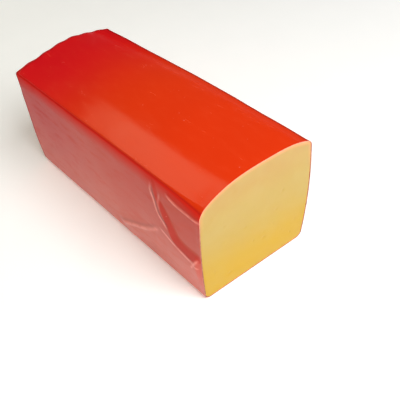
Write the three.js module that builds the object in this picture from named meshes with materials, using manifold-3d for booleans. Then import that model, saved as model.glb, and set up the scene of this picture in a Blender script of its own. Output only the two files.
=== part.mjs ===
// A block of semi-hard cheese in its red film, cut across at one end.
// Millimetres. +Z is up, +X points to the cut end and the loosely folded long side of the film faces -Y.
// The origin lies on the resting face, under the middle of the block's box.

import * as THREE from 'three';
import { LoftGeometry } from 'three/addons/geometries/LoftGeometry.js';
import { mergeVertices } from 'three/addons/utils/BufferGeometryUtils.js';
import Module from 'manifold-3d';

const wasm = await Module();
wasm.setup();

// Driving dimensions of the block, measured over the film
const LENGTH = 241.5; // back end to the cut, along the middle line
const WIDTH = 100; // between the two long top edges
const SHOULDER = 100; // resting face to the long top edges
const CROWN = 10; // rise of the top face above its long edges
const CROWN_OFFSET = 8; // the highest line of the top lies this far towards +Y
const CROWN_POWER = { back: 1.5, cut: 3 }; // a low number makes a ridged top, a high one a full top
const BELLY = { folded: 1.5, plain: 3.4 }; // bulge of the long sides towards -Y and +Y
const BARREL = 2; // extra crown half way along the block
const FOLDED_EDGE_DROP = 5; // the top edge towards -Y comes down this far at the cut
const PLAIN_EDGE_LIFT = 2; // the top edge towards +Y stands this much higher
const BACK_BULGE = 4; // bulge of the back end
const CUT_SKEW = 0.095; // how far the cut runs off square, per millimetre of width

// Edge roundings
const BOTTOM_RADIUS = 5;
const BACK_RADIUS = 3;
const FOLDED_EDGE_RADIUS = { back: 1.8, cut: 6 }; // the top edge towards -Y
const PLAIN_EDGE_RADIUS = { back: 3, cut: 4 }; // the top edge towards +Y
const EDGE_OPENING_POWER = 10; // how late along the block the edges change

// The film and the room between it and the cheese
const FILM = 0.8;
const FILM_CLEARANCE = 0.3;
const HOLLOW_OVERRUN = 20; // how far the hollowing form reaches past the cut

// How finely the outlines are divided
const CORNER_STEPS = 6;
const SIDE_STEPS = { bottom: 4, right: 8, top: 12, left: 8 };
const BODY_STATIONS = 18;
const STATION_BUNCHING = 1.6; // above 1 the stations stand closer towards the cut
const BACK_EDGE_STEPS = 4;
const BACK_RINGS = [0.2, 0.45, 0.7]; // share of the section's size, from the middle of the back end outwards
const FOLD_STEPS = 20;

// Folds of the film: how deep their feet sit in it, and the share of their length in which they run out
const FOLD_FOOT = 0.5;
const FOLD_RUN_OUT = 0.2;
const FOLD_SHOULDER = 0.4; // height half way up a fold's flank, as a share of the crest's height

const BACK_X = -LENGTH / 2;
const CUT_X = LENGTH / 2;
const HALF_WIDTH = WIDTH / 2;
const MIDDLE_Z = SHOULDER / 2;

const mix = THREE.MathUtils.lerp;
const clamp = THREE.MathUtils.clamp;

// 0 at the back end, 1 at the cut
function shareAlong(x) {
  return clamp((x - BACK_X) / LENGTH, 0, 1);
}

function edgeRadius(edge, share) {
  return mix(edge.back, edge.cut, share ** EDGE_OPENING_POWER);
}

// Swells a point of the plain rounded section into the crowned and bellied one.
function swell(y, z, share) {
  const plain = y > CROWN_OFFSET;
  const reach = HALF_WIDTH + (plain ? -CROWN_OFFSET : CROWN_OFFSET);
  const across = Math.min(1, Math.abs(y - CROWN_OFFSET) / reach);
  const barrel = BARREL * Math.sin(Math.PI * share);
  const edge = plain ? PLAIN_EDGE_LIFT + barrel : -FOLDED_EDGE_DROP * share ** EDGE_OPENING_POWER;
  const power = mix(CROWN_POWER.back, CROWN_POWER.cut, share);
  const lift = mix(CROWN + barrel, edge, across ** power);
  const up = z / SHOULDER;
  const belly = 4 * (y < 0 ? BELLY.folded : BELLY.plain) * up * (1 - up);
  return new THREE.Vector2(y * (1 + belly / HALF_WIDTH), z * (1 + lift / SHOULDER));
}

// The four corners of the section, anticlockwise as seen from the cut end, starting at the bottom towards -Y.
function sectionCorners(share, inset) {
  const shrink = (radius) => Math.max(radius - inset, 0.5);
  return [
    { y: -1, z: 0, radius: shrink(BOTTOM_RADIUS), steps: SIDE_STEPS.bottom },
    { y: 1, z: 0, radius: shrink(BOTTOM_RADIUS), steps: SIDE_STEPS.right },
    { y: 1, z: 1, radius: shrink(edgeRadius(PLAIN_EDGE_RADIUS, share)), steps: SIDE_STEPS.top },
    { y: -1, z: 1, radius: shrink(edgeRadius(FOLDED_EDGE_RADIUS, share)), steps: SIDE_STEPS.left },
  ];
}

// One closed section at a share of the length, set in from the outer outline by `inset`.
function sectionOutline(share, inset) {
  const arcs = sectionCorners(share, inset).map(({ y, z, radius, steps }, index) => {
    const middleY = y * (HALF_WIDTH - inset - radius);
    const middleZ = z ? SHOULDER - inset - radius : inset + radius;
    const points = [];
    for (let i = 0; i <= CORNER_STEPS; i++) {
      const angle = Math.PI * (1 + index / 2 + i / CORNER_STEPS / 2);
      points.push(new THREE.Vector2(middleY + radius * Math.cos(angle), middleZ + radius * Math.sin(angle)));
    }
    return { points, steps };
  });
  const outline = [];
  arcs.forEach(({ points, steps }, index) => {
    const last = points[CORNER_STEPS];
    const next = arcs[(index + 1) % arcs.length].points[0];
    outline.push(...points);
    for (let i = 1; i < steps; i++) {
      outline.push(last.clone().lerp(next, i / steps));
    }
  });
  return outline.map((p) => swell(p.x, p.y, share));
}

// A section placed along the block. The skew of the cut grows from the back end to the cut.
function placedSection(x, inset) {
  const share = shareAlong(x);
  return sectionOutline(share, inset).map((p) => new THREE.Vector3(x + CUT_SKEW * p.x * share, p.x, p.y));
}

// How far along the back end stands, at a share of the way from its middle to its edge
function backX(scale) {
  return BACK_X - BACK_BULGE * (1 - scale ** 2);
}

// A ring of the back end, shrunk towards the end's middle
function backRing(scale, inset) {
  return placedSection(BACK_X, inset + BACK_RADIUS).map(
    (p) => new THREE.Vector3(backX(scale) + inset, p.y * scale, mix(MIDDLE_Z, p.z, scale)),
  );
}

// The block's form, set in by `inset` and reaching `overrun` past the cut
function blockGeometry(inset, overrun) {
  const sections = BACK_RINGS.map((scale) => backRing(scale, inset));
  for (let i = 0; i <= BACK_EDGE_STEPS; i++) {
    const turn = ((Math.PI / 2) * i) / BACK_EDGE_STEPS;
    const x = BACK_X + inset + BACK_RADIUS * (1 - Math.cos(turn));
    sections.push(placedSection(x, inset + BACK_RADIUS * (1 - Math.sin(turn))));
  }
  const bodyFrom = BACK_X + inset + BACK_RADIUS;
  for (let i = 1; i <= BODY_STATIONS; i++) {
    const along = 1 - (1 - i / BODY_STATIONS) ** STATION_BUNCHING;
    sections.push(placedSection(mix(bodyFrom, CUT_X, along), inset));
  }
  if (overrun > 0) {
    const cut = sections[sections.length - 1];
    sections.push(cut.map((p) => p.clone().setX(p.x + overrun)));
  }
  return new LoftGeometry(sections, { capStart: true, capEnd: true });
}

// A closed geometry as a solid for joining and cutting, and a solid as a geometry again
function solidFrom(geometry) {
  const bare = new THREE.BufferGeometry();
  bare.setAttribute('position', geometry.getAttribute('position'));
  bare.setIndex(geometry.getIndex());
  const merged = mergeVertices(bare, 1e-4);
  return new wasm.Manifold(
    new wasm.Mesh({
      numProp: 3,
      vertProperties: new Float32Array(merged.getAttribute('position').array),
      triVerts: new Uint32Array(merged.getIndex().array),
    }),
  );
}

function geometryFrom(solid) {
  const mesh = solid.getMesh();
  const geometry = new THREE.BufferGeometry();
  geometry.setAttribute('position', new THREE.BufferAttribute(mesh.vertProperties, mesh.numProp));
  geometry.setIndex(new THREE.BufferAttribute(mesh.triVerts, 1));
  geometry.computeVertexNormals();
  return geometry;
}

// The faces that carry folds. Each one places a point of its own plane on the film's outside.
// `turn` tells which way round the plane's two axes lie, seen from outside the film.
function longSide(side) {
  const run = LENGTH + CUT_SKEW * side * HALF_WIDTH;
  return {
    turn: side,
    out: new THREE.Vector3(0, side, 0),
    place(x, z) {
      const share = clamp((x - BACK_X) / run, 0, 1);
      const radius = edgeRadius(side < 0 ? FOLDED_EDGE_RADIUS : PLAIN_EDGE_RADIUS, share);
      const intoEdge = clamp(z - (SHOULDER - radius), 0, radius);
      const y = HALF_WIDTH - radius + Math.sqrt(radius ** 2 - intoEdge ** 2);
      const p = swell(side * y, z, share);
      return new THREE.Vector3(x, p.x, p.y);
    },
  };
}

const BACK_END = {
  turn: 1,
  out: new THREE.Vector3(-1, 0, 0),
  place(y, z) {
    const height = z > MIDDLE_Z ? swell(y, SHOULDER, 0).y - MIDDLE_Z : MIDDLE_Z;
    const across = Math.abs(y) / (HALF_WIDTH - BACK_RADIUS);
    const upright = Math.abs(z - MIDDLE_Z) / (height - BACK_RADIUS);
    const scale = Math.min(1, Math.max(across, upright));
    return new THREE.Vector3(backX(scale), y, z);
  },
};

// A fold of the film: a ridge along a path on a face. Its foot reaches `before` to the left of the path, seen
// from outside, and `after` to the right of it.
function foldGeometry(face, { points, rise, before, after }) {
  const path = new THREE.SplineCurve(points.map(([u, v]) => new THREE.Vector2(u, v)));
  const sections = [];
  for (let i = 0; i <= FOLD_STEPS; i++) {
    const t = i / FOLD_STEPS;
    const crest = path.getPoint(t);
    const along = path.getTangent(t);
    const across = new THREE.Vector2(-along.y, along.x).multiplyScalar(face.turn);
    const fade = Math.min(1, t / FOLD_RUN_OUT, (1 - t) / FOLD_RUN_OUT);
    const spread = mix(0.3, 1, fade);
    const onFace = (offset, height) => {
      const p = crest.clone().addScaledVector(across, offset * spread);
      return face.place(p.x, p.y).addScaledVector(face.out, height);
    };
    sections.push([
      onFace(-before, -FOLD_FOOT),
      onFace(-before / 2, mix(0, rise * FOLD_SHOULDER, fade)),
      onFace(0, mix(0.1, rise, fade)),
      onFace(after / 2, mix(0, rise * FOLD_SHOULDER, fade)),
      onFace(after, -FOLD_FOOT),
    ]);
  }
  return new LoftGeometry(sections, { capStart: true, capEnd: true });
}

// Folds of the long side towards -Y, as places along the block from its middle and heights above the resting
// face. A loose pocket comes down from the top edge and turns along the block; its steep flank faces the cut.
const POCKET_FOLDS = [
  {
    rise: 2.8,
    before: 6,
    after: 14,
    points: [[68, 96], [70, 87], [73, 79], [78, 71], [84, 60], [89, 52], [96, 47], [104, 45.5], [112, 45.5]],
  },
  { rise: 1.4, before: 4, after: 7, points: [[11, 11], [34, 24], [53, 34.5], [73, 50]] },
  { rise: 0.8, before: 4, after: 3, points: [[81, 92], [93, 88.5], [105, 87.5], [113, 87]] },
];

// Folds of the long side towards +Y: soft pulls out of its corners, and a shallow pocket near the cut
const PLAIN_FOLDS = [
  { rise: 1.2, before: 4, after: 8, points: [[-112, 93], [-86, 76], [-54, 62], [-22, 56]] },
  { rise: 1, before: 6, after: 3, points: [[-112, 9], [-90, 21], [-60, 29]] },
  { rise: 1.5, before: 5, after: 9, points: [[56, 94], [63, 83], [82, 72], [112, 67]] },
  { rise: 1.1, before: 6, after: 3, points: [[62, 9], [84, 21], [114, 26]] },
];

// Folds of the back end: the film is folded over like an envelope. Its upper and lower flaps lie on the two at
// the sides, and the closing seam runs across the middle.
const FLAP = { rise: 0.9, step: 2, fall: 6 };
const BACK_FOLDS = [
  { rise: FLAP.rise, before: FLAP.step, after: FLAP.fall, points: [[-44, 51], [-15, 52], [15, 52], [44, 51]] },
  { rise: FLAP.rise, before: FLAP.step, after: FLAP.fall, points: [[-44, 94], [-30, 79], [-8, 55]] },
  { rise: FLAP.rise, before: FLAP.fall, after: FLAP.step, points: [[44, 94], [31, 78], [9, 55]] },
  { rise: FLAP.rise, before: FLAP.step, after: FLAP.fall, points: [[44, 8], [30, 23], [8, 47]] },
  { rise: FLAP.rise, before: FLAP.fall, after: FLAP.step, points: [[-44, 8], [-31, 22], [-9, 47]] },
];

// The film: the outer form with its folds, hollowed to a wall that is open at the cut
function filmGeometry() {
  const folds = [
    ...POCKET_FOLDS.map((fold) => foldGeometry(longSide(-1), fold)),
    ...PLAIN_FOLDS.map((fold) => foldGeometry(longSide(1), fold)),
    ...BACK_FOLDS.map((fold) => foldGeometry(BACK_END, fold)),
  ];
  const hollow = solidFrom(blockGeometry(FILM, HOLLOW_OVERRUN));
  const wall = solidFrom(blockGeometry(0, 0)).subtract(hollow);
  return geometryFrom(folds.reduce((film, fold) => film.add(solidFrom(fold)), wall));
}

function cheeseGeometry() {
  return geometryFrom(solidFrom(blockGeometry(FILM + FILM_CLEARANCE, 0)));
}

const film = new THREE.Mesh(
  filmGeometry(),
  new THREE.MeshStandardMaterial({ color: 0xd8321a, roughness: 0.25, metalness: 0 }),
);
film.name = 'red_film';

const cheese = new THREE.Mesh(
  cheeseGeometry(),
  new THREE.MeshStandardMaterial({ color: 0xe6c473, roughness: 0.55, metalness: 0 }),
);
cheese.name = 'cheese_body';

// The origin goes under the middle of the film's box.
const box = new THREE.Box3().setFromObject(film);
const middle = box.getCenter(new THREE.Vector3());
const block = new THREE.Group();
block.name = 'cheese_block';
block.position.set(-middle.x, -middle.y, -box.min.z);
block.add(cheese, film);

const part = new THREE.Group();
part.add(block);

export default part;
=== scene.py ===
"""A loaf-shaped block of semi-hard cheese in its red film, cut across at one end.

The file is laid out as an add-on and run as a script. All sizes are in metres, in the frame of the
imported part: +Z is up, +X points to the cut face and the loosely folded long side of the film faces -Y.
"""

import math

import bpy
import numpy as np
from bpy.props import FloatProperty, FloatVectorProperty, IntProperty, PointerProperty
from mathutils import Matrix, Vector


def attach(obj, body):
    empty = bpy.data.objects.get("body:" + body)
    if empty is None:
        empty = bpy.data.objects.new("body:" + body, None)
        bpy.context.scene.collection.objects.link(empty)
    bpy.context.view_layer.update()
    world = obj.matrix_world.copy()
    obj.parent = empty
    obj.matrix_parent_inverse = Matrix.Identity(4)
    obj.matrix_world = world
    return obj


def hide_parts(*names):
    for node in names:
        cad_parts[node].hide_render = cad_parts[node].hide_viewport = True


bl_info = {
    "name": "Cheese block in red film",
    "version": (1, 0, 0),
    "blender": (4, 5, 0),
    "location": "View3D > Sidebar > Cheese",
    "description": "Builds a cut block of semi-hard cheese in its red film, on a pale studio floor",
    "category": "Mesh",
}

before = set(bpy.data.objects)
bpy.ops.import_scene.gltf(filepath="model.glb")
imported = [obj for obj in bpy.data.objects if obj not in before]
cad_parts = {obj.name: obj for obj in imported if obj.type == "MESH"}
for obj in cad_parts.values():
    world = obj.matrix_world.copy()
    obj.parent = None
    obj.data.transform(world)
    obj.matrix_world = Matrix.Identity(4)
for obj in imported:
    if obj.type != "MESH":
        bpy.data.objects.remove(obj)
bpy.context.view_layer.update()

MM = 0.001
BODY = "root"

# The block's own middle line lies this far from the frame's origin.
BLOCK_OFFSET = np.array([-0.09, -0.09, 0.0]) * MM

# Form of the block that the panel leaves alone, at the back end and at the cut where there are two numbers
CROWN_POWER = (1.5, 3.0)  # a low number makes a ridged top, a high one a full top
FOLDED_EDGE_DROP = 5 * MM  # the top edge towards -Y comes down this far at the cut
PLAIN_EDGE_LIFT = 2 * MM  # the top edge towards +Y stands this much higher
EDGE_OPENING_POWER = 10  # how late along the block the edges change
FOLDED_EDGE_RADIUS = (1.8 * MM, 6 * MM)  # the top edge towards -Y
PLAIN_EDGE_RADIUS = (1.8 * MM, 3 * MM)  # the top edge towards +Y
BOTTOM_RADIUS = 5 * MM
BACK_RADIUS = 3 * MM
FOLDED_BELLY = 1.5 * MM
PLAIN_BELLY = 3.4 * MM
LEAST_RADIUS = 0.5 * MM
LEAST_NORMAL = 1e-12  # keeps a direction of no length from being divided by nought

# How finely the film is divided, in steps round the section and in places along the block
FILM_SIDE_STEPS = (10, 78, 46, 122)  # underside, side towards +Y, top, side towards -Y
FILM_CORNER_STEPS = 8
FILM_BACK_RINGS = 30
FILM_BACK_EDGE_STEPS = 6
FILM_PLAIN_STATIONS = 88
FILM_FOLDED_STATIONS = 146
FOLDED_FROM = 5 * MM  # the folded part of the film runs from here to the cut
FILM_INNER_STATIONS = 14
FILM_INNER_RINGS = (0.6, 0.2)  # share of the back end's size
INNER_BACK_EDGE_STEPS = 3  # of the film's inside and of the cheese

# How finely the cheese is divided
CHEESE_SIDE_STEPS = (40, 44, 44, 44)
CHEESE_CORNER_STEPS = 8
CHEESE_STATIONS = 14
CHEESE_BACK_RINGS = (0.3, 0.6)  # share of the back end's size
CHEESE_CUT_RINGS = 60
CHEESE_CUT_EDGE = 0.4 * MM  # radius of the cut's own edge
CHEESE_CUT_EDGE_STEPS = 3
CHEESE_ROOM = 0.03 * MM  # between the film and the cheese


class BlockSizes(bpy.types.PropertyGroup):
    """Sizes of the block, measured over the film."""

    length: FloatProperty(
        name="Length",
        description="From the back end to the cut, along the middle line",
        default=241.5 * MM,
        unit="LENGTH",
    )
    width: FloatProperty(
        name="Width",
        description="Between the two long top edges",
        default=100 * MM,
        unit="LENGTH",
    )
    shoulder: FloatProperty(
        name="Shoulder height",
        description="From the resting face to the long top edges",
        default=100 * MM,
        unit="LENGTH",
    )
    crown: FloatProperty(
        name="Crown",
        description="Rise of the top above its long edges",
        default=10 * MM,
        unit="LENGTH",
    )
    crown_offset: FloatProperty(
        name="Crown offset",
        description="How far the highest line of the top lies towards +Y",
        default=8 * MM,
        unit="LENGTH",
    )
    barrel: FloatProperty(
        name="Barrel",
        description="Extra crown half way along the block",
        default=2 * MM,
        unit="LENGTH",
    )
    back_bulge: FloatProperty(
        name="Back bulge",
        description="Bulge of the back end",
        default=4 * MM,
        unit="LENGTH",
    )
    cut_skew: FloatProperty(
        name="Cut skew",
        description="How far the cut runs off square, per unit of width",
        default=0.095,
        subtype="FACTOR",
    )


class FilmLooks(bpy.types.PropertyGroup):
    """Thickness, folds and colours of the film."""

    thickness: FloatProperty(
        name="Thickness",
        description="Thickness that the film is drawn with",
        default=0.8 * MM,
        unit="LENGTH",
    )
    fold_height: FloatProperty(
        name="Fold height",
        description="Height of the folds, as a share of their drawn height",
        default=1.0,
        min=0.0,
        max=2.0,
        subtype="FACTOR",
    )
    ripple: FloatProperty(
        name="Ripple",
        description="Depth of the slow unevenness of the film",
        default=0.18 * MM,
        unit="LENGTH",
    )
    gathers: FloatProperty(
        name="Gathers",
        description="Depth of the small gathers along the back end's edge",
        default=0.4 * MM,
        unit="LENGTH",
    )
    seed: IntProperty(name="Seed", description="Seed of the film's unevenness", default=7)
    orange: FloatVectorProperty(
        name="Orange red",
        description="Colour of the film over most of the block",
        default=(0.78, 0.038, 0.004),
        subtype="COLOR",
    )
    crimson: FloatVectorProperty(
        name="Crimson",
        description="Deeper colour of the film towards the back end",
        default=(0.70, 0.006, 0.012),
        subtype="COLOR",
    )
    # pale colour of the creases' crests, partly whitened film and partly painted highlight; it also paints
    # the floor's reflection low down and the bubbles' glints
    crease: FloatVectorProperty(
        name="Crease",
        description="Paler colour of the film where it is creased",
        default=(1.0, 0.34, 0.27),
        subtype="COLOR",
    )
    # deeper red where the film lies double, partly real and partly painted shade of the fold's dark band
    tuck_shade: FloatVectorProperty(
        name="Tuck",
        description="Deeper colour of the film where it lies double",
        default=(0.66, 0.022, 0.004),
        subtype="COLOR",
    )
    # painted shade: the dark lines along the top edges and the back end's edge, the darkening beside the edge
    # towards +Y and the shade beside the creases
    edge: FloatVectorProperty(
        name="Edge",
        description="Dark colour of the film where it is pulled round the top edges and the back end's edge",
        default=(0.20, 0.006, 0.006),
        subtype="COLOR",
    )
    tight: FloatVectorProperty(
        name="Tight",
        description="Pure red of the film just below the folded edge, where it lies tight on the cheese",
        default=(0.82, 0.014, 0.008),
        subtype="COLOR",
    )
    # painted reflection of the floor: the film is paler low down, near the floor
    floor_sheen: FloatProperty(
        name="Haze",
        description="How milky the film is low down, where it stands off the cheese",
        default=0.42,
        subtype="FACTOR",
    )
    # painted light on the top of the film's cut edge
    cut_edge_lit: FloatVectorProperty(
        name="Cut edge",
        description="Colour of the film's own cut edge at the top of the block",
        default=(1.0, 0.42, 0.24),
        subtype="COLOR",
    )
    # painted shade on the film's cut edge at the sides, the underside and the far top edge
    cut_edge_shaded: FloatVectorProperty(
        name="Cut edge, low",
        description="Colour of the film's own cut edge at the sides and the underside",
        default=(0.30, 0.06, 0.03),
        subtype="COLOR",
    )
    roughness: FloatProperty(
        name="Roughness",
        description="Roughness of the film",
        default=0.22,
        subtype="FACTOR",
    )


class CheeseLooks(bpy.types.PropertyGroup):
    """Colours and marks of the cheese."""

    paste: FloatVectorProperty(
        name="Paste",
        description="Colour of the cut face",
        default=(0.535, 0.362, 0.088),
        subtype="COLOR",
    )
    # deeper yellow near the cut face's edge, and painted bounce light in its lower part
    ripe_and_bounce: FloatVectorProperty(
        name="Ripe paste",
        description="Deeper yellow in the lower part of the cut face and near its edge",
        default=(0.605, 0.358, 0.007),
        subtype="COLOR",
    )
    upper: FloatVectorProperty(
        name="Upper paste",
        description="Warmer colour of the upper part of the cut face",
        default=(0.545, 0.320, 0.096),
        subtype="COLOR",
    )
    # painted shade inside the small pits
    pit: FloatVectorProperty(
        name="Pit",
        description="Colour inside the small pits",
        default=(0.50, 0.28, 0.04),
        subtype="COLOR",
    )
    # painted light: paste tinted by light coming through the red film at the top of the cut face
    film_light: FloatVectorProperty(
        name="Blush",
        description="Colour of the paste just under the film at the top",
        default=(0.80, 0.36, 0.16),
        subtype="COLOR",
    )
    pit_count: IntProperty(name="Pits", description="Number of small pits in the cut face", default=18)
    pit_depth: FloatProperty(
        name="Pit depth",
        description="Depth of the deepest pits in the cut face",
        default=0.55 * MM,
        unit="LENGTH",
    )
    seed: IntProperty(name="Seed", description="Seed of the pits", default=11)


class StageLooks(bpy.types.PropertyGroup):
    """Floor and light of the studio."""

    floor: FloatVectorProperty(
        name="Floor",
        description="Colour of the floor",
        default=(0.93, 0.93, 0.93),
        subtype="COLOR",
    )
    glow: FloatProperty(
        name="Floor glow",
        description="Strength of the floor's own light",
        default=0.245,
    )
    far_glow: FloatProperty(
        name="Far glow",
        description="How many times stronger the floor's own light is far from the block",
        default=3.2,
    )
    main_power: FloatProperty(
        name="Main light",
        description="Power of the soft light high in front of the cut face",
        default=18.4,
        unit="POWER",
    )
    back_power: FloatProperty(
        name="Back light",
        description="Power of the weak soft light behind the block",
        default=4.3,
        unit="POWER",
    )
    horizon: FloatVectorProperty(
        name="Horizon",
        description="Colour of the surroundings near the horizon",
        default=(0.75, 0.75, 0.745),
        subtype="COLOR",
    )
    surroundings: FloatProperty(
        name="Surroundings",
        description="Brightness of the surroundings overhead, as a share of those near the horizon",
        default=0.06,
        subtype="FACTOR",
    )


def mix(a, b, t):
    """The value at share t of the way from a to b."""
    return a + (b - a) * t


def smooth(t):
    """Eases from 0 to 1."""
    t = np.clip(t, 0, 1)
    return t * t * (3 - 2 * t)


class BlockForm:
    """The block's form in its own coordinates, from which the film and the cheese are drawn."""

    def __init__(self, sizes):
        self.length = sizes.length
        self.half_width = sizes.width / 2
        self.shoulder = sizes.shoulder
        self.crown = sizes.crown
        self.crown_offset = sizes.crown_offset
        self.barrel = sizes.barrel
        self.back_bulge = sizes.back_bulge
        self.cut_skew = sizes.cut_skew
        self.back_x = -sizes.length / 2
        self.cut_x = sizes.length / 2
        self.middle_z = sizes.shoulder / 2

    def share(self, x):
        """0 at the back end, 1 at the cut."""
        return np.clip((x - self.back_x) / self.length, 0, 1)

    def swell(self, y, z, share):
        """Swells the plain rounded section into the crowned and bellied one."""
        plain = y > self.crown_offset
        reach = self.half_width + np.where(plain, -self.crown_offset, self.crown_offset)
        across = np.minimum(1, np.abs(y - self.crown_offset) / reach)
        barrel = self.barrel * np.sin(math.pi * share)
        edge = np.where(plain, PLAIN_EDGE_LIFT + barrel, -FOLDED_EDGE_DROP * share**EDGE_OPENING_POWER)
        peak = self.crown + barrel
        lift = peak + (edge - peak) * across ** mix(*CROWN_POWER, share)
        up = z / self.shoulder
        belly = 4 * np.where(y < 0, FOLDED_BELLY, PLAIN_BELLY) * up * (1 - up)
        return y * (1 + belly / self.half_width), z * (1 + lift / self.shoulder)

    def sections(self, x, inset, side_steps, corner_steps):
        """Rows of points round the block, one row for each place along it, set in by `inset`.

        Each row starts at the underside's corner towards -Y and runs along the underside first.
        """
        x = np.asarray(x, float)[:, None]
        inset = np.broadcast_to(np.asarray(inset, float).reshape(-1, 1), x.shape)
        share = self.share(x)
        opening = share**EDGE_OPENING_POWER
        corners = (
            (-1, False, BOTTOM_RADIUS + 0 * share),
            (1, False, BOTTOM_RADIUS + 0 * share),
            (1, True, mix(*PLAIN_EDGE_RADIUS, opening)),
            (-1, True, mix(*FOLDED_EDGE_RADIUS, opening)),
        )
        arcs = []
        for index, (side, top, radius) in enumerate(corners):
            radius = np.maximum(radius - inset, LEAST_RADIUS)
            middle_y = side * (self.half_width - inset - radius)
            middle_z = self.shoulder - inset - radius if top else inset + radius
            angle = math.pi * (1 + index / 2 + np.linspace(0, 0.5, corner_steps + 1))
            arcs.append((middle_y + radius * np.cos(angle), middle_z + radius * np.sin(angle)))
        ys, zs = [], []
        for index, (arc_y, arc_z) in enumerate(arcs):
            next_y, next_z = arcs[(index + 1) % len(arcs)]
            t = np.linspace(0, 1, side_steps[index] + 1)[1:-1]
            ys += [arc_y, mix(arc_y[:, -1:], next_y[:, :1], t)]
            zs += [arc_z, mix(arc_z[:, -1:], next_z[:, :1], t)]
        y, z = self.swell(np.hstack(ys), np.hstack(zs), share)
        return np.stack([x + self.cut_skew * y * share, y, z], axis=-1)

    def back_rings(self, scales, inset, side_steps, corner_steps):
        """Rings of the back end, shrunk towards its middle."""
        edge = self.sections([self.back_x], inset + BACK_RADIUS, side_steps, corner_steps)[0]
        scales = np.asarray(scales, float)[:, None]
        y = edge[None, :, 1] * scales
        z = mix(self.middle_z, edge[None, :, 2], scales)
        x = self.back_x + inset - self.back_bulge * (1 - scales**2) + 0 * y
        return np.stack([x, y, z], axis=-1)

    def back_edge(self, steps, inset, side_steps, corner_steps):
        """Rows round the rounded edge of the back end."""
        turn = np.linspace(0, math.pi / 2, steps + 1)
        x = self.back_x + inset + BACK_RADIUS * (1 - np.cos(turn))
        return self.sections(x, inset + BACK_RADIUS * (1 - np.sin(turn)), side_steps, corner_steps)


class Fold:
    """A crease of the film along a path on one of its faces.

    The path and all sizes are in millimetres, the path in the face's own plane. The film stands up by `rise`
    along it, and by `lip` more on its narrow crest. Left of the path, seen from outside the film, the crease
    falls off over `left`, and right of it over `right`. `run_out` is the share of the path over which each
    end fades. `crest` is how wide the crest is, `white` how pale that is, partly as whitened film and partly
    as a painted highlight, `shade` how strong the painted shade is just left of it, and `tuck_shade` how much
    of the film lies double in its left flank, darkened there partly as painted shade.
    """

    SAMPLES = 48
    WIDE_FLANK = 16 * MM  # a flank wider than this eases out softly
    SHADE_PLACE = 1.7  # the shade lies this many crest widths from the path
    SHADE_REACH = 4  # and ends this many crest widths from it
    TUCK_EDGE = 3  # how sharply the doubled film ends

    def __init__(
        self, points, rise, left, right, lip=0.5, run_out=0.22, white=1.0, crest=1.2, tuck_shade=0.0, shade=0.0
    ):
        self.path = self.curve(np.array(points, float) * MM)
        self.rise = self.spread(rise)
        self.left = self.spread(left)
        self.right = self.spread(right)
        self.lip = lip * MM
        self.run_out = run_out
        self.white = white
        self.crest = crest * MM
        self.tuck_shade = tuck_shade
        self.shade = shade

    def spread(self, sizes):
        """A size at every sample of the path, from one number of millimetres or from several along it."""
        sizes = np.atleast_1d(sizes) * MM
        return np.interp(np.linspace(0, 1, self.SAMPLES), np.linspace(0, 1, len(sizes)), sizes)

    def curve(self, points):
        """A smooth curve through the points."""
        ends = np.vstack([2 * points[0] - points[1], points, 2 * points[-1] - points[-2]])
        t = np.linspace(0, len(points) - 1, self.SAMPLES)
        part = np.minimum(t.astype(int), len(points) - 2)
        t = (t - part)[:, None]
        a, b, c, d = (ends[part + i] for i in range(4))
        square = 2 * a - 5 * b + 4 * c - d
        cube = 3 * b - a - 3 * c + d
        return 0.5 * (2 * b + (c - a) * t + square * t**2 + cube * t**3)

    def fade(self):
        """Strength of the crease along its path, running out at both ends."""
        t = np.linspace(0, 1, self.SAMPLES)
        return smooth(np.minimum(t, 1 - t) / self.run_out)

    def lay(self, u, v, turn):
        """Height, paleness (whitened film and painted highlight), doubling (darkened partly as painted shade)
        and painted shade at points of the face; `turn` is the face's sense.
        """
        along = np.gradient(self.path, axis=0)
        along /= np.linalg.norm(along, axis=1)[:, None]
        across = np.stack([-along[:, 1], along[:, 0]], axis=1) * -turn
        du = u[:, None] - self.path[None, :, 0]
        dv = v[:, None] - self.path[None, :, 1]
        near = np.argmin(du**2 + dv**2, axis=1)
        rows = np.arange(len(u))
        du, dv = du[rows, near], dv[rows, near]
        distance = np.hypot(du, dv)
        leftward = du * across[near, 0] + dv * across[near, 1]
        reach = np.where(leftward > 0, self.left[near], self.right[near])
        fade = self.fade()[near]
        slope = np.clip(1 - distance / reach, 0, 1)
        flank = np.where(reach > self.WIDE_FLANK, smooth(slope), slope)
        crest = np.exp(-((distance / self.crest) ** 2)) * fade
        doubled = np.where(leftward > 0, smooth(slope * self.TUCK_EDGE), 0) * fade
        beside = np.exp(-((leftward / self.crest - self.SHADE_PLACE) ** 2)) * fade
        beside *= distance < self.SHADE_REACH * self.crest
        height = self.rise[near] * flank * fade + self.lip * crest
        return height, self.white * crest, self.tuck_shade * doubled, self.shade * beside


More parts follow.
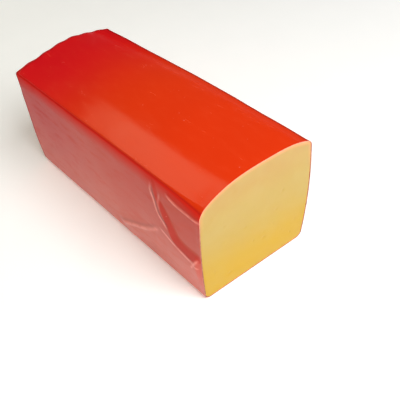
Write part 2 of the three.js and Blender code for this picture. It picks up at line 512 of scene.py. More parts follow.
# Folds of the long side towards -Y, as places along the block from its middle and heights above the floor.
# A loose pocket comes down from the top edge and turns along the block; its steep flank faces the cut.
POCKET_FOLDS = (
    Fold(
        [(68, 97), (70, 87), (73, 79), (78, 71), (84, 60), (88, 52), (96, 47), (107, 45.5), (118, 46)],
        rise=(0.2, 0.7, 1.2, 1.8, 2.4, 2.7, 2.8, 2.8, 2.7),
        left=(2.5, 3, 3.5, 4.8, 6, 7, 8, 8.3, 8.5),
        right=(18, 30, 40, 46, 46, 40, 32),
        lip=0.0,
        run_out=0.03,
        white=0.0,
        tuck_shade=1.0,
    ),
    Fold(
        [(66.5, 94), (66, 85), (69, 78), (73, 68), (80, 62), (84.5, 57)],
        rise=0.6,
        left=3,
        right=3,
        run_out=0.2,
        shade=0.8,
    ),
    Fold(
        [(72, 53), (81, 50.5), (91.5, 47), (102, 44.5), (112, 42.5)],
        rise=0.5,
        left=2,
        right=5,
        run_out=0.15,
        shade=0.3,
    ),
    Fold(
        [(11, 11), (34, 24), (53, 34.5), (74, 51)],
        rise=1.4,
        left=9,
        right=16,
        run_out=0.15,
        crest=1.6,
        shade=0.35,
    ),
    Fold([(81, 92), (93, 88.5), (107, 87.5), (119, 87)], rise=0.8, left=5, right=3, run_out=0.18, shade=0.3),
    Fold([(106, 34), (110, 42), (114, 49)], rise=0.5, left=3, right=3, crest=0.9),
    Fold([(107, 44), (111, 40), (114, 38)], rise=0.4, left=2, right=2, crest=0.8),
    Fold([(76, 89), (74, 79), (76, 72)], rise=0.3, left=2.5, right=2.5, lip=0.2, white=0.4, crest=0.9),
)

# Folds of the long side towards +Y: long soft pulls out of its corners, a shallow pocket near the cut and a
# low swell between them
SOFT_CREST = {"lip": 0.2, "white": 0.3, "crest": 2.0}
FAINT_CREST = {"lip": 0.1, "white": 0.12, "crest": 2.0}
PLAIN_FOLDS = (
    Fold(
        [(-112, 93), (-86, 76), (-54, 62), (-22, 56)], rise=1.2, left=9, right=24, run_out=0.3, **SOFT_CREST
    ),
    Fold([(-112, 9), (-90, 21), (-60, 29)], rise=1.0, left=18, right=7, run_out=0.3, **SOFT_CREST),
    Fold([(54, 97), (63, 83), (82, 72), (112, 67)], rise=1.5, left=9, right=26, run_out=0.2, **SOFT_CREST),
    Fold([(62, 9), (84, 21), (114, 26)], rise=1.1, left=20, right=6, run_out=0.25, **SOFT_CREST),
    Fold([(-30, 27), (10, 23), (46, 31)], rise=0.5, left=12, right=12, run_out=0.4, **FAINT_CREST),
)

# Folds of the back end, as places across it and heights: the film is folded over like an envelope, its upper
# and lower flaps lie on the two at the sides, and the closing seam runs across the middle
FLAP = {"rise": 0.9, "lip": 0.15, "white": 0.3, "crest": 1.5, "run_out": 0.12}
FLAP_STEP = 2.0
FLAP_FALL = 22.0
BACK_FOLDS = (
    Fold([(-45, 51), (-15, 52), (15, 52), (45, 51)], left=FLAP_STEP, right=FLAP_FALL, **FLAP),
    Fold([(-47, 97), (-30, 79), (-8, 55)], left=FLAP_STEP, right=FLAP_FALL, **FLAP),
    Fold([(47, 97), (31, 78), (9, 55)], left=FLAP_FALL, right=FLAP_STEP, **FLAP),
    Fold([(47, 5), (30, 23), (8, 47)], left=FLAP_STEP, right=FLAP_FALL, **FLAP),
    Fold([(-47, 5), (-31, 22), (-9, 47)], left=FLAP_FALL, right=FLAP_STEP, **FLAP),
    Fold([(-26, 97), (-21, 84), (-17, 74)], rise=0.6, left=5, right=5, **SOFT_CREST),
    Fold([(22, 4), (18, 17), (11, 28)], rise=0.6, left=5, right=5, **SOFT_CREST),
)


class Mesher:
    """Collects rows of points and the faces between them, and makes a mesh of them."""

    def __init__(self):
        self.points = []
        self.faces = []
        self.count = 0

    def add(self, rows):
        """Adds a stack of closed rows of points and returns their numbers."""
        rows = np.asarray(rows)
        numbers = self.count + np.arange(rows.shape[0] * rows.shape[1]).reshape(rows.shape[:2])
        self.points.append(rows.reshape(-1, 3))
        self.count += numbers.size
        return numbers

    def skin(self, numbers):
        """Lays faces between neighbouring rows, facing away from a row that runs anticlockwise."""
        here, there = numbers[:-1], numbers[1:]
        faces = np.stack([here, np.roll(here, -1, 1), np.roll(there, -1, 1), there], axis=-1)
        self.faces.append(faces.reshape(-1, 4))

    def cap(self, row, point):
        """Closes a row with a fan of faces round a point; a fan is a stack of thin triangles."""
        tip = self.add(np.asarray(point, float).reshape(1, 1, 3))[0, 0]
        fan = np.stack([row, np.full_like(row, tip), np.roll(row, -1)], axis=-1)
        self.faces.append(fan)

    def build(self, name):
        """The mesh as a new object, moved from the block's own place to the frame's."""
        points = np.vstack(self.points) + BLOCK_OFFSET
        faces = [tuple(face) for group in self.faces for face in group.tolist()]
        mesh = bpy.data.meshes.new(name)
        mesh.from_pydata(points.tolist(), [], faces)
        mesh.validate()
        mesh.shade_smooth()
        piece = bpy.data.objects.new(name, mesh)
        bpy.context.scene.collection.objects.link(piece)
        return piece


def outward(rows):
    """Outward directions of a stack of closed rows."""
    along = np.gradient(rows, axis=0)
    around = np.roll(rows, -1, 1) - np.roll(rows, 1, 1)
    normal = np.cross(around, along)
    return normal / np.maximum(np.linalg.norm(normal, axis=-1, keepdims=True), LEAST_NORMAL)


def waves(points, seed, lengths, count):
    """A slow unevenness between about -1 and 1, as a sum of waves in chance directions."""
    chance = np.random.default_rng(seed)
    total = np.zeros(points.shape[:-1])
    for _ in range(count):
        direction = chance.normal(size=3)
        direction /= np.linalg.norm(direction)
        length = chance.uniform(*lengths)
        total += np.sin(points @ direction * (2 * math.pi / length) + chance.uniform(0, 2 * math.pi))
    return total / math.sqrt(count)


def store(piece, name, values):
    """Keeps a value for each point of a piece, for its material to read."""
    layer = piece.data.attributes.new(name, "FLOAT", "POINT")
    layer.data.foreach_set("value", np.asarray(values, np.float32))


# Numbers of a Mix node's sockets for colours, because several of its sockets share a name
MIX_FACTOR = 0
MIX_FIRST = 6
MIX_SECOND = 7
MIX_COLOUR = 2


class Wire:
    """A socket of a material's nodes. Sums written with it add the Math nodes that work them out."""

    def __init__(self, tree, socket):
        self.tree = tree
        self.socket = socket

    def node(self, kind, settings=None, values=None, output=0):
        """Adds a node: its settings are set first, then its sockets' values or links. Returns an output."""
        made = self.tree.nodes.new(kind)
        for key, value in (settings or {}).items():
            setattr(made, key, value)
        for key, value in (values or {}).items():
            if isinstance(value, Wire):
                self.tree.links.new(value.socket, made.inputs[key])
            else:
                made.inputs[key].default_value = value
        return Wire(self.tree, made.outputs[output])

    def math(self, operation, first, second):
        """Adds a Math node."""
        return self.node("ShaderNodeMath", {"operation": operation}, {0: first, 1: second})

    def __add__(self, other):
        return self.math("ADD", self, other)

    def __radd__(self, other):
        return self.math("ADD", other, self)

    def __sub__(self, other):
        return self.math("SUBTRACT", self, other)

    def __rsub__(self, other):
        return self.math("SUBTRACT", other, self)

    def __mul__(self, other):
        return self.math("MULTIPLY", self, other)

    def __rmul__(self, other):
        return self.math("MULTIPLY", other, self)

    def __pow__(self, other):
        return self.math("POWER", self, other)

    def __rpow__(self, other):
        return self.math("POWER", other, self)

    def larger(self, other):
        """The larger of this value and another."""
        return self.math("MAXIMUM", self, other)

    def step(self, low, high):
        """Eases from 0 to 1 as this value goes from low to high."""
        settings = {"interpolation_type": "SMOOTHSTEP"}
        values = {"Value": self, "From Min": low, "From Max": high}
        return self.node("ShaderNodeMapRange", settings, values)

    def blend(self, first, second):
        """A colour between the first and the second, by this value."""
        values = {MIX_FACTOR: self, MIX_FIRST: first, MIX_SECOND: second}
        return self.node("ShaderNodeMix", {"data_type": "RGBA"}, values, output=MIX_COLOUR)

    def stretched(self, scale):
        """This vector times a scale for each axis."""
        return self.node("ShaderNodeVectorMath", {"operation": "MULTIPLY"}, {0: self, 1: scale})

    def axis(self, name):
        """One axis of this vector."""
        return self.node("ShaderNodeSeparateXYZ", None, {0: self}, output=name)

    def noise(self, scale, detail=2, roughness=0.5):
        """A cloudy value between 0 and 1, with about `scale` clouds to a metre."""
        values = {"Vector": self, "Scale": scale, "Detail": detail, "Roughness": roughness}
        return self.node("ShaderNodeTexNoise", None, values)


def new_material(name, constants):
    """A material, its shader with the constant sockets set, and a wire with the piece's own coordinates."""
    material = bpy.data.materials.new(name)
    material.use_nodes = True
    tree = material.node_tree
    shader = next(n for n in tree.nodes if n.type == "BSDF_PRINCIPLED")
    for key, value in constants.items():
        shader.inputs[key].default_value = value
    place = Wire(tree, None).node("ShaderNodeTexCoord", output="Object")
    return material, shader, place


def feed(shader, wires):
    """Links wires to the sockets of a shader."""
    for key, wire in wires.items():
        wire.tree.links.new(wire.socket, shader.inputs[key])


def stored(place, name):
    """The value that a piece keeps for each of its points."""
    return place.node("ShaderNodeAttribute", {"attribute_name": name}, output="Fac")


def colour4(colour):
    """A colour as a socket takes it."""
    return (*colour, 1.0)


# The film's finish. Its marks are counted per metre. A span is the cloud value at which a mark begins and the
# one at which it is full, and a strength is a share of the whole effect.
CRIMSON_RANGE = (10 * MM, -100 * MM)  # along the block, from orange red to crimson
CRIMSON_LEAST = 0.88  # the rest comes and goes in patches
COLOUR_PATCHES = 14
PATCH_SPAN = (0.35, 0.7)
CREASE_BREAKS = 170
BREAK_SPAN = (0.35, 0.6)
CREASE_LEAST = 0.65
STREAKS = 60
STREAK_SPAN = (0.45, 0.75)
STREAK_SHAPE = (1.0, 3.0, 3.0)
STREAK_COLOUR = (0.86, 0.07, 0.015)
STREAK_STRENGTH = 0.16
STREAK_LOSS = 0.11  # at the back end
LOOSE_SIDE_SHADE = (0.1, 0.03, 0.015)  # painted shade on the loose side towards -Y, which faces away from the main light
LOOSE_SIDE_SHADE_STRENGTH = 0.22
TIGHT_STRENGTH = 0.8
FLOOR_SHEEN_RANGE = (85 * MM, -5 * MM)  # down the block, from clear film to a painted reflection of the floor
TUCK_SHADE_STRENGTH = 0.9
SHADE_STRENGTH = 0.6
# painted shade beside the edge towards +Y
STRETCHED_SHADE = 0.15
BUBBLES = 150
BUBBLE_SIZE = (0.09, 0.04)  # outer and inner reach, as a share of the room that each bubble has
BUBBLE_GROUPS = 22
GROUP_SPAN = (0.52, 0.62)
# painted glints: bubbles are made paler
BUBBLE_GLINT_STRENGTH = 0.4
BUBBLE_LOSS = 0.7  # at the back end
FILM_GRAIN = 900
FILM_GRAIN_RELIEF = 0.05
FILM_WRINKLES = 120
WRINKLE_SHAPE = (0.7, 1.0, 1.0)
WRINKLE_RELIEF = 0.5
BUBBLE_RELIEF = 0.1
FILM_BUMP = {"Strength": 0.12, "Distance": 0.6 * MM}

# What makes the film rougher than its panel value
STREAK_ROUGHNESS = 0.14
LOOSE_ROUGHNESS = 0.14
LOOSE_BACK_ROUGHNESS = 0.12
STRETCHED_ROUGHNESS = 0.35
EDGE_ROUGHNESS = 0.3

# How much of the film is matt: where it lies tight, along the stretched edge and at the back of the top
TIGHT_MATT = 0.9
STRETCHED_MATT = 0.9
STRETCHED_MATT_POWER = 0.2  # below 1 it reaches further than the stretch itself
BACK_MATT = 0.4
MATT_FILM = {"Roughness": 0.6, "Specular IOR Level": 0.0}


def film_colour(looks, place, back, streaks, bubbles):
    """Colour of the film: orange red, crimson towards the back end, and changed by its folds and edges, with
    painted shade, painted highlights and a painted reflection of the floor.
    """
    loose = stored(place, "loose")
    patches = place.noise(COLOUR_PATCHES).step(*PATCH_SPAN)
    deep = back * (CRIMSON_LEAST + (1 - CRIMSON_LEAST) * patches)
    body = deep.blend(colour4(looks.orange), colour4(looks.crimson))
    streaked = streaks * (STREAK_STRENGTH - STREAK_LOSS * back)
    lively = streaked.blend(body, colour4(STREAK_COLOUR))
    # painted shade darkens the loose side towards -Y
    side_shaded = (loose * LOOSE_SIDE_SHADE_STRENGTH).blend(lively, colour4(LOOSE_SIDE_SHADE))
    pulled = (stored(place, "tight") * TIGHT_STRENGTH).blend(side_shaded, colour4(looks.tight))
    # painted reflection of the floor, paler film low down
    floor_sheen = place.axis("Z").step(*FLOOR_SHEEN_RANGE) * looks.floor_sheen
    floor_sheened = floor_sheen.blend(pulled, colour4(looks.crease))
    # the fold's flank darkened, partly double film and partly painted shade
    tuck_shaded = (stored(place, "tuck_shade") * TUCK_SHADE_STRENGTH).blend(floor_sheened, colour4(looks.tuck_shade))
    # painted shade just beside the creases
    shaded = (stored(place, "shade") * SHADE_STRENGTH).blend(tuck_shaded, colour4(looks.edge))
    # pale crest lines: partly whitened film, partly a painted highlight
    breaks = place.noise(CREASE_BREAKS).step(*BREAK_SPAN)
    crease = stored(place, "crease") * (CREASE_LEAST + (1 - CREASE_LEAST) * breaks)
    creased = crease.blend(shaded, colour4(looks.crease))
    # painted shade along the film's edges and beside the edge towards +Y
    dark = stored(place, "edge") + stored(place, "stretched") * STRETCHED_SHADE
    edge_shaded = dark.blend(creased, colour4(looks.edge))
    # painted glints on the bubbles under the film
    return (bubbles * BUBBLE_GLINT_STRENGTH).blend(edge_shaded, colour4(looks.crease))


def film_material(looks):
    """Glossy orange-red film with small bubbles under it, mixed with matt film beside its top edges."""
    material, shader, place = new_material("red_film", {"IOR": 1.4})
    loose = stored(place, "loose")
    stretched = stored(place, "stretched")
    back = place.axis("X").step(*CRIMSON_RANGE)
    streaks = place.stretched(STREAK_SHAPE).noise(STREAKS, detail=4, roughness=0.6).step(*STREAK_SPAN)
    cells = {"Vector": place, "Scale": BUBBLES, "Randomness": 1.0}
    from_bubble = place.node("ShaderNodeTexVoronoi", {"feature": "F1"}, cells)
    groups = place.noise(BUBBLE_GROUPS).step(*GROUP_SPAN)
    bubbles = from_bubble.step(*BUBBLE_SIZE) * groups * (1 - BUBBLE_LOSS * back)
    colour = film_colour(looks, place, back, streaks, bubbles)
    grain = place.noise(FILM_GRAIN, detail=3, roughness=0.6)
    wrinkle = place.stretched(WRINKLE_SHAPE).noise(FILM_WRINKLES, detail=4, roughness=0.55)
    relief = grain * FILM_GRAIN_RELIEF + wrinkle * WRINKLE_RELIEF + bubbles * BUBBLE_RELIEF
    bump = place.node("ShaderNodeBump", None, {**FILM_BUMP, "Height": relief})
    roughness = looks.roughness + STREAK_ROUGHNESS * (streaks - 0.5)
    roughness = roughness + loose * (LOOSE_ROUGHNESS + LOOSE_BACK_ROUGHNESS * back)
    roughness = roughness + STRETCHED_ROUGHNESS * stretched + EDGE_ROUGHNESS * stored(place, "edge")
    feed(shader, {"Base Color": colour, "Roughness": roughness, "Normal": bump})

    matt_values = {**MATT_FILM, "Base Color": colour, "Normal": bump}
    matt = place.node("ShaderNodeBsdfPrincipled", None, matt_values)
    gloss = Wire(place.tree, shader.outputs[0])
    matt_share = stored(place, "tight") * TIGHT_MATT
    matt_share = matt_share + stretched**STRETCHED_MATT_POWER * STRETCHED_MATT
    matt_share = matt_share + back * (1 - loose) * BACK_MATT
    both = place.node("ShaderNodeMixShader", None, {0: matt_share, 1: gloss, 2: matt})
    surface = next(n for n in place.tree.nodes if n.type == "OUTPUT_MATERIAL")
    feed(surface, {"Surface": both})
    return material


# The film's own cut edge is pale with painted light at the top of the block, and red with painted shade low
# down and at the far top edge.
CUT_EDGE_DOWN = (100 * MM, 60 * MM)
CUT_EDGE_ACROSS = (46 * MM, 50.5 * MM)
CUT_EDGE_MARKS = 260
CUT_EDGE_SPAN = (0.3, 0.7)
CUT_EDGE_LEAST = 0.7


def cut_edge_material(looks):
    """The film's own cut edge: pale orange painted light at the top, and red painted shade lower down and at
    the far top edge.
    """
    material, shader, place = new_material("film_cut_edge", {"IOR": 1.5, "Roughness": 0.4})
    uneven = place.noise(CUT_EDGE_MARKS).step(*CUT_EDGE_SPAN)
    # painted shade low down and at the far top edge, painted light elsewhere
    low = place.axis("Z").step(*CUT_EDGE_DOWN).larger(place.axis("Y").step(*CUT_EDGE_ACROSS))
    red = low * CUT_EDGE_LEAST + uneven * (1 - CUT_EDGE_LEAST)
    feed(shader, {"Base Color": red.blend(colour4(looks.cut_edge_lit), colour4(looks.cut_edge_shaded))})
    return material


# The cheese's finish: heights over which its colour changes, marks per metre, their spans and their strengths
# painted bounce light: deeper yellow low on the cut face
BOUNCE_RANGE = (75 * MM, 10 * MM)
BOUNCE_STRENGTH = 0.95
RIPE_RIM_STRENGTH = 0.2
UPPER_RANGE = (70 * MM, 105 * MM)
UPPER_STRENGTH = 0.8
FILM_LIGHT_RANGE = (70 * MM, 100 * MM)
FILM_LIGHT_STRENGTH = 0.8
CLOUDS = 45
CLOUD_SPAN = (0.35, 0.7)
CLOUD_COLOUR = (0.58, 0.43, 0.14)
CLOUD_STRENGTH = 0.28
CLOUD_LOSS = 0.6  # low down
PASTE_GRAIN = 520
GRAIN_SPAN = (0.5, 0.8)
GRAIN_COLOUR = (0.62, 0.47, 0.19)
GRAIN_STRENGTH = 0.15
GRAIN_RELIEF = 0.6
FINE_GRAIN = 1500
FINE_GRAIN_RELIEF = 0.3
PIT_SHADE_STRENGTH = 0.4
PASTE_ROUGHNESS = 0.42
GRAIN_ROUGHNESS = 0.2
PASTE_BUMP = {"Strength": 0.12, "Distance": 0.4 * MM}


def cheese_material(looks):
    """Smooth, slightly moist paste with a faint grain, deeper yellow near the edge, with painted bounce light
    low down, painted light through the film at the top and painted shade in its pits.
    """
    constants = {
        "IOR": 1.45,
        "Subsurface Weight": 0.25,
        "Subsurface Radius": (1.0, 0.55, 0.15),
        "Subsurface Scale": 4 * MM,
    }
    material, shader, place = new_material("cheese_paste", constants)
    rim = stored(place, "rim")
    height = place.axis("Z")
    low = height.step(*BOUNCE_RANGE)
    ripe_and_bounce = low * BOUNCE_STRENGTH + rim * RIPE_RIM_STRENGTH
    upper = (height.step(*UPPER_RANGE) * UPPER_STRENGTH).blend(colour4(looks.paste), colour4(looks.upper))
    paste = ripe_and_bounce.blend(upper, colour4(looks.ripe_and_bounce))
    # painted light through the red film, near the edge at the top
    film_light = rim * height.step(*FILM_LIGHT_RANGE)
    film_lit = (film_light * FILM_LIGHT_STRENGTH).blend(paste, colour4(looks.film_light))
    cloud = place.noise(CLOUDS, detail=3).step(*CLOUD_SPAN) * (1 - CLOUD_LOSS * low)
    clouded = (cloud * CLOUD_STRENGTH).blend(film_lit, colour4(CLOUD_COLOUR))
    grain = place.noise(PASTE_GRAIN, detail=4, roughness=0.65)
    grained = (grain.step(*GRAIN_SPAN) * GRAIN_STRENGTH).blend(clouded, colour4(GRAIN_COLOUR))
    # painted shade inside the pits
    colour = (stored(place, "pit") * PIT_SHADE_STRENGTH).blend(grained, colour4(looks.pit))
    roughness = PASTE_ROUGHNESS + GRAIN_ROUGHNESS * grain
    relief = grain * GRAIN_RELIEF + place.noise(FINE_GRAIN) * FINE_GRAIN_RELIEF
    bump = place.node("ShaderNodeBump", None, {**PASTE_BUMP, "Height": relief})
    feed(shader, {"Base Color": colour, "Roughness": roughness, "Normal": bump})
    return material


# The film's relief. A face's folds lie where the film faces that way by at least this share.
FACES_SIDE = 0.35
FACES_BACK = 0.6
RIPPLE_LENGTHS = (35 * MM, 110 * MM)
RIPPLE_WAVES = 9
RIPPLE_FROM_FLOOR = 8 * MM  # the ripple grows to its full depth over this height
GATHER_LENGTHS = (9 * MM, 24 * MM)
GATHER_WAVES = 7
GATHER_REACH = 9 * MM  # along the block
GATHER_FROM = 70 * MM  # height at which the gathers begin
GATHER_GROWTH = 25 * MM  # height over which they grow
HELD_AT_CUT = 5 * MM  # this close to the cut the film settles on the cheese

# Half widths and strengths of the painted shade lines along the film's edges
PLAIN_LINE = 1.4 * MM
PLAIN_LINE_STRENGTH = 0.72
FOLDED_LINE = 0.7 * MM
FOLDED_LINE_STRENGTH = 0.3
BACK_LINE = 1.2 * MM
BACK_LINE_STRENGTH = 0.6
STRETCHED = 9 * MM  # how far from the edge towards +Y the film is stretched and duller, and darkened with painted shade
TIGHT = 14 * MM  # how far below the edge towards -Y the film lies tight on the cheese

# The side towards -Y is loose. As shares of the half width, it begins here and grows over the second number.
LOOSE_FROM = 0.955
LOOSE_GROWTH = 0.04
SHARP_ANGLE = math.radians(50)  # edges sharper than this are not smoothed


def film_relief(form, rows, looks):
    """Height of the film at every point of its outside, and how creased, doubled and shaded it is there."""
    flat = rows.reshape(-1, 3)
    normal = outward(rows).reshape(-1, 3)
    x, y, z = flat.T
    along = x - form.cut_skew * y * form.share(x)
    height = np.zeros(len(flat))
    marks = np.zeros((3, len(flat)))
    faces = (
        (POCKET_FOLDS, -1, normal[:, 1] < -FACES_SIDE, x, z),
        (PLAIN_FOLDS, 1, normal[:, 1] > FACES_SIDE, x, z),
        (BACK_FOLDS, 1, normal[:, 0] < -FACES_BACK, y, z),
    )
    for folds, turn, on_face, u, v in faces:
        for fold in folds:
            rise, *marked = fold.lay(u[on_face], v[on_face], turn)
            height[on_face] = np.maximum(height[on_face], rise)
            marks[:, on_face] = np.maximum(marks[:, on_face], marked)
    height *= looks.fold_height
    slow = waves(flat, looks.seed, RIPPLE_LENGTHS, RIPPLE_WAVES)
    height += looks.ripple * slow * smooth(z / RIPPLE_FROM_FLOOR)
    near_back = np.exp(-(((along - form.back_x) / GATHER_REACH) ** 2))
    gathered = near_back * smooth((z - GATHER_FROM) / GATHER_GROWTH)
    short = waves(flat, looks.seed + 1, GATHER_LENGTHS, GATHER_WAVES)
    height += looks.gathers * short * gathered
    height *= smooth((form.cut_x - along) / HELD_AT_CUT)
    return height.reshape(rows.shape[:2]), marks


def edge_shade_lines(rows, side_steps, corner_steps, back_row):
    """Strength of the painted shade lines along the film's edges, and how stretched and tight it is beside
    them.
    """
    arc = corner_steps + 1
    plain = 2 * arc + side_steps[0] + side_steps[1] - 2 + corner_steps
    folded = 3 * arc + sum(side_steps[:3]) - 3 + corner_steps // 2
    around = np.cumsum(np.linalg.norm(np.roll(rows, -1, 1) - rows, axis=-1), axis=1)
    lengthwise = np.cumsum(np.linalg.norm(np.gradient(rows, axis=0), axis=-1), axis=0)
    from_plain = np.abs(around - around[:, plain, None])
    down = around - around[:, folded, None]
    from_back = np.abs(lengthwise - lengthwise[back_row])
    folded_line = np.exp(-((down / FOLDED_LINE) ** 2))
    plain_line = np.exp(-((from_plain / PLAIN_LINE) ** 2))
    along = np.maximum(PLAIN_LINE_STRENGTH * plain_line, FOLDED_LINE_STRENGTH * folded_line)
    stretched = np.exp(-((from_plain / STRETCHED) ** 2))
    tight = np.where(down > 0, np.clip(1 - down / TIGHT, 0, 1), folded_line)
    for layer in (along, stretched, tight):
        layer[:back_row] = 0
    lines = np.maximum(along, BACK_LINE_STRENGTH * np.exp(-((from_back / BACK_LINE) ** 2)))
    return lines.ravel(), stretched.ravel(), tight.ravel()


def film_stations(form):
    """Places along the block, closer together in the folded part near the cut."""
    start = form.back_x + BACK_RADIUS
    plain = np.linspace(start, FOLDED_FROM, FILM_PLAIN_STATIONS + 1)[1:]
    folded = np.linspace(FOLDED_FROM, form.cut_x, FILM_FOLDED_STATIONS + 1)[1:]
    return np.concatenate([plain, folded])


class CHEESEBLOCK_OT_film(bpy.types.Operator):
    """Draws the red film over the block, with its folds and its cut edge"""

    bl_idname = "cheeseblock.film"
    bl_label = "Red film"

    def execute(self, context):
        form = BlockForm(context.scene.block_sizes)
        looks = context.scene.film_looks
        steps = (FILM_SIDE_STEPS, FILM_CORNER_STEPS)
        rings = np.linspace(0, 1, FILM_BACK_RINGS + 1)[1:-1]
        outside = np.concatenate(
            [
                form.back_rings(rings, 0, *steps),
                form.back_edge(FILM_BACK_EDGE_STEPS, 0, *steps),
                form.sections(film_stations(form), 0, *steps),
            ]
        )
        # edge holds the painted shade lines along the film's edges
        edge, stretched, tight = edge_shade_lines(outside, *steps, len(rings) + FILM_BACK_EDGE_STEPS)
        height, marks = film_relief(form, outside, looks)
        outside = outside + outward(outside) * height[..., None]
        outside[..., 2] = np.maximum(outside[..., 2], 0)

        wall = looks.thickness
        inner_x = np.linspace(form.cut_x, form.back_x + wall + BACK_RADIUS, FILM_INNER_STATIONS)
        inside = np.concatenate(
            [
                form.sections(inner_x, wall, *steps),
                form.back_edge(INNER_BACK_EDGE_STEPS, wall, *steps)[-2::-1],
                form.back_rings(FILM_INNER_RINGS, wall, *steps),
            ]
        )
        mesher = Mesher()
        outer = mesher.add(outside)
        inner = mesher.add(inside)
        mesher.skin(outer)
        mesher.skin(np.stack([outer[-1], inner[0]]))
        mesher.skin(inner)
        mesher.cap(outer[0], (form.back_x - form.back_bulge, 0, form.middle_z))
        mesher.cap(inner[-1][::-1], (form.back_x - form.back_bulge + wall, 0, form.middle_z))
        piece = mesher.build("film")

        inner_zeros = np.zeros(len(piece.data.vertices) - edge.size)
        crease, tuck_shade, shade = marks
        layers = {
            "crease": crease,
            "tuck_shade": tuck_shade,
            "shade": shade,
            "edge": edge,
            "stretched": stretched,
            "tight": tight,
        }
        for name, values in layers.items():
            store(piece, name, np.concatenate([values, inner_zeros]))
        depth = np.vstack(mesher.points)[:, 1] / form.half_width
        # the loose side towards -Y, which also carries painted shade in the film's colour
        store(piece, "loose", smooth((-LOOSE_FROM - depth) / LOOSE_GROWTH))
        piece.data.materials.append(film_material(looks))
        piece.data.materials.append(cut_edge_material(looks))
        around = outer.shape[1]
        first = (outer.shape[0] - 1) * around
        for polygon in piece.data.polygons[first : first + around]:
            polygon.material_index = 1
        piece.data.set_sharp_from_angle(angle=SHARP_ANGLE)
        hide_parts("red_film")
        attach(piece, BODY)
        return {"FINISHED"}


# The knife's slow wave on the cut, and the fine scratches over it
KNIFE_WAVE = 0.10 * MM
KNIFE_LENGTH = 9 * MM
KNIFE_WANDER = 0.6
KNIFE_WANDER_LENGTH = 23 * MM
SCRATCH = 0.05 * MM
SCRATCH_LENGTH = 2.3 * MM
SCRATCH_SLANT = 0.3

# Least and most of each pit's place, as shares of the half width and the shoulder height, and of its size
PIT_ACROSS = (-0.85, 0.85)
PIT_UP = (0.08, 1.0)
PIT_RADIUS = (0.8, 1.8)  # millimetres
PIT_DEPTH = (0.3, 1.0)  # share of the panel's pit depth
PIT_STRETCH = (0.7, 1.6)

# Shares of the cut's size over which its relief begins at the edge, and over which the rim's colour ends
CUT_FLAT_EDGE = 0.04
CUT_RIM = 0.05


def cut_relief(points, looks, form):
    """Height of the cut face with its knife marks and small pits, and how far inside a pit each point is."""
    y, z = points[..., 1], points[..., 2]
    wander = KNIFE_WANDER * np.sin(y / KNIFE_WANDER_LENGTH)
    wave = KNIFE_WAVE * np.sin(z / KNIFE_LENGTH + wander)
    wave = wave + SCRATCH * np.sin((z + SCRATCH_SLANT * y) / SCRATCH_LENGTH)
    chance = np.random.default_rng(looks.seed)
    pits = np.zeros(y.shape)
    for _ in range(looks.pit_count):
        at_y = chance.uniform(*PIT_ACROSS) * form.half_width
        at_z = chance.uniform(*PIT_UP) * form.shoulder
        radius = chance.uniform(*PIT_RADIUS) * MM
        depth = chance.uniform(*PIT_DEPTH) * looks.pit_depth
        stretch = chance.uniform(*PIT_STRETCH)
        distance = np.hypot((y - at_y) * stretch, (z - at_z) / stretch) / radius
        pits = np.maximum(pits, depth * np.exp(-(distance**2)))
    return wave - pits, pits / looks.pit_depth


class CHEESEBLOCK_OT_cheese(bpy.types.Operator):
    """Makes the cheese inside the film, with its cut face"""

    bl_idname = "cheeseblock.cheese"
    bl_label = "Cheese"

    def execute(self, context):
        form = BlockForm(context.scene.block_sizes)
        looks = context.scene.cheese_looks
        inset = context.scene.film_looks.thickness + CHEESE_ROOM
        steps = (CHEESE_SIDE_STEPS, CHEESE_CORNER_STEPS)
        first_x = form.back_x + inset + BACK_RADIUS
        stations = np.linspace(first_x, form.cut_x - CHEESE_CUT_EDGE, CHEESE_STATIONS)
        body = np.concatenate(
            [
                form.back_rings(CHEESE_BACK_RINGS, inset, *steps),
                form.back_edge(INNER_BACK_EDGE_STEPS, inset, *steps)[:-1],
                form.sections(stations, inset, *steps),
            ]
        )
        turn = np.linspace(0, math.pi / 2, CHEESE_CUT_EDGE_STEPS + 1)[1:]
        edge_x = form.cut_x - CHEESE_CUT_EDGE * (1 - np.sin(turn))
        edge = form.sections(edge_x, inset + CHEESE_CUT_EDGE * (1 - np.cos(turn)), *steps)
        outline = edge[-1]
        middle = np.array([form.cut_x, 0, form.middle_z])
        scales = np.linspace(1, 0, CHEESE_CUT_RINGS + 1)[1:-1, None, None]
        face = middle + (outline[None] - middle) * scales
        near_edge = smooth((1 - scales[..., 0]) / CUT_FLAT_EDGE)
        relief, pits = cut_relief(face, looks, form)
        face[..., 0] += relief * near_edge

        mesher = Mesher()
        numbers = mesher.add(np.concatenate([body, edge, face]))
        mesher.skin(numbers)
        mesher.cap(numbers[0], (form.back_x + inset - form.back_bulge, 0, form.middle_z))
        mesher.cap(numbers[-1][::-1], middle)
        piece = mesher.build("cheese")

        rim = np.zeros(len(piece.data.vertices))
        rows = np.ones(numbers.shape[0])
        rows[-len(scales) :] = 1 - smooth((1 - scales[:, 0, 0]) / CUT_RIM)
        rim[: numbers.size] = np.repeat(rows, numbers.shape[1])
        store(piece, "rim", rim)
        pit = np.zeros(len(piece.data.vertices))
        pit[numbers[-len(scales) :].ravel()] = pits.ravel()
        store(piece, "pit", pit)
        piece.data.materials.append(cheese_material(looks))
        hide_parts("cheese_body")
        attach(piece, BODY)
        return {"FINISHED"}


# The camera, worked out from the photograph's vanishing points
CAMERA_PLACE = Vector((289.75, -192.36, 340.0)) * MM
CAMERA_RIGHT = Vector((0.67956, 0.73157, -0.05489))
CAMERA_UP = Vector((-0.49955, 0.51623, 0.69567))
CAMERA_LENS = 46.98
CAMERA_SENSOR = 36.0
CAMERA_CLIP_START = 0.01

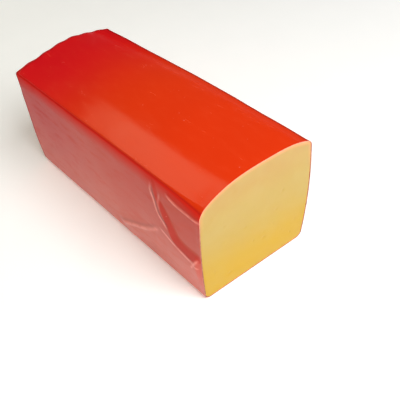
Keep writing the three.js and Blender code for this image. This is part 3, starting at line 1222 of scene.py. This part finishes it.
# The stage: floor and soft lights, each with its place, what it looks at, its width and its height
FLOOR_REACH = 9.0
FLOOR_CORNERS = ((-1, -1), (1, -1), (1, 1), (-1, 1))
FLOOR_DROP = 0.2 * MM
FLOOR_GRAIN = 35  # marks per metre
FLOOR_GRAIN_SPAN = (0.3, 0.7)
FLOOR_GRAIN_LIFT = 1.02
FAR_GLOW_RANGE = (0.35, 1.3)  # from the middle of the floor
MAIN = ((0.85, 0.12, 1.00), (0.05, 0.0, 0.05), 0.9, 0.9)
BEHIND = ((-0.675, -0.555, 1.104), (-0.232, -0.555, 0.208), 1.29, 0.61)
BEHIND_COLOUR = (1.0, 0.95, 0.6)
HORIZON_FADE = (0.09, 0.19)  # how high above the horizon the pale surroundings end, as a share of straight up


def soft_light(name, spot, power):
    """A rectangular soft light that faces its target."""
    place, target, width, height = spot
    lamp = bpy.data.lights.new(name, "AREA")
    lamp.shape = "RECTANGLE"
    lamp.size = width
    lamp.size_y = height
    lamp.energy = power
    light = bpy.data.objects.new(name, lamp)
    light.location = place
    light.rotation_euler = (Vector(target) - Vector(place)).to_track_quat("-Z", "Y").to_euler()
    bpy.context.scene.collection.objects.link(light)
    return light


def floor_material(looks):
    """Pale matt floor that glows a little, like a light table, with a barely visible grain."""
    constants = {"Roughness": 0.8, "IOR": 1.2, "Emission Strength": looks.glow}
    material, shader, place = new_material("studio_floor", constants)
    grain = place.noise(FLOOR_GRAIN).step(*FLOOR_GRAIN_SPAN)
    pale = tuple(min(1.0, c * FLOOR_GRAIN_LIFT) for c in looks.floor)
    far_glow = tuple(c * looks.far_glow for c in looks.floor)
    away = place.node("ShaderNodeVectorMath", {"operation": "LENGTH"}, {0: place}, output="Value")
    glow = away.step(*FAR_GLOW_RANGE).blend(colour4(looks.floor), colour4(far_glow))
    feed(shader, {"Base Color": grain.blend(colour4(looks.floor), colour4(pale)), "Emission Color": glow})
    return material


class CHEESEBLOCK_OT_stage(bpy.types.Operator):
    """Sets up the floor, the soft lights and the camera"""

    bl_idname = "cheeseblock.stage"
    bl_label = "Stage"

    def execute(self, context):
        scene = context.scene
        looks = scene.stage_looks
        corners = [(x * FLOOR_REACH, y * FLOOR_REACH, -FLOOR_DROP) for x, y in FLOOR_CORNERS]
        mesh = bpy.data.meshes.new("floor")
        mesh.from_pydata(corners, [], [(0, 1, 2, 3)])
        floor = bpy.data.objects.new("floor", mesh)
        floor.data.materials.append(floor_material(looks))
        scene.collection.objects.link(floor)

        soft_light("main_light", MAIN, looks.main_power)
        soft_light("back_light", BEHIND, looks.back_power).data.color = BEHIND_COLOUR

        world = bpy.data.worlds.new("studio")
        world.use_nodes = True
        background = next(n for n in world.node_tree.nodes if n.type == "BACKGROUND")
        upward = Wire(world.node_tree, None).node("ShaderNodeTexCoord").axis("Z")
        dim = tuple(c * looks.surroundings for c in looks.horizon)
        sky = upward.step(*HORIZON_FADE).blend(colour4(looks.horizon), colour4(dim))
        feed(background, {"Color": sky})
        scene.world = world

        lens = bpy.data.cameras.new("camera")
        lens.lens = CAMERA_LENS
        lens.sensor_width = CAMERA_SENSOR
        lens.clip_start = CAMERA_CLIP_START
        camera = bpy.data.objects.new("camera", lens)
        back = CAMERA_RIGHT.cross(CAMERA_UP)
        turned = Matrix((CAMERA_RIGHT, CAMERA_UP, back)).transposed().to_4x4()
        camera.matrix_world = Matrix.Translation(CAMERA_PLACE) @ turned
        scene.collection.objects.link(camera)
        scene.camera = camera
        scene.view_settings.view_transform = "Standard"
        return {"FINISHED"}


class CHEESEBLOCK_PT_panel(bpy.types.Panel):
    """Sizes, colours and steps of the cheese block"""

    bl_idname = "CHEESEBLOCK_PT_panel"
    bl_label = "Cheese block"
    bl_space_type = "VIEW_3D"
    bl_region_type = "UI"
    bl_category = "Cheese"

    def draw(self, context):
        column = self.layout.column()
        for operator in OPERATORS:
            column.operator(operator.bl_idname)
        for name, group in GROUPS.items():
            looks = getattr(context.scene, name)
            for key in group.__annotations__:
                column.prop(looks, key)


OPERATORS = (CHEESEBLOCK_OT_film, CHEESEBLOCK_OT_cheese, CHEESEBLOCK_OT_stage)
GROUPS = {
    "block_sizes": BlockSizes,
    "film_looks": FilmLooks,
    "cheese_looks": CheeseLooks,
    "stage_looks": StageLooks,
}


def register():
    for group in GROUPS.values():
        bpy.utils.register_class(group)
    for name, group in GROUPS.items():
        setattr(bpy.types.Scene, name, PointerProperty(type=group))
    for operator in OPERATORS:
        bpy.utils.register_class(operator)
    bpy.utils.register_class(CHEESEBLOCK_PT_panel)


def unregister():
    bpy.utils.unregister_class(CHEESEBLOCK_PT_panel)
    for operator in reversed(OPERATORS):
        bpy.utils.unregister_class(operator)
    for name, group in GROUPS.items():
        delattr(bpy.types.Scene, name)
        bpy.utils.unregister_class(group)


def main():
    register()
    bpy.ops.cheeseblock.film()
    bpy.ops.cheeseblock.cheese()
    bpy.ops.cheeseblock.stage()


if __name__ == "__main__":
    main()
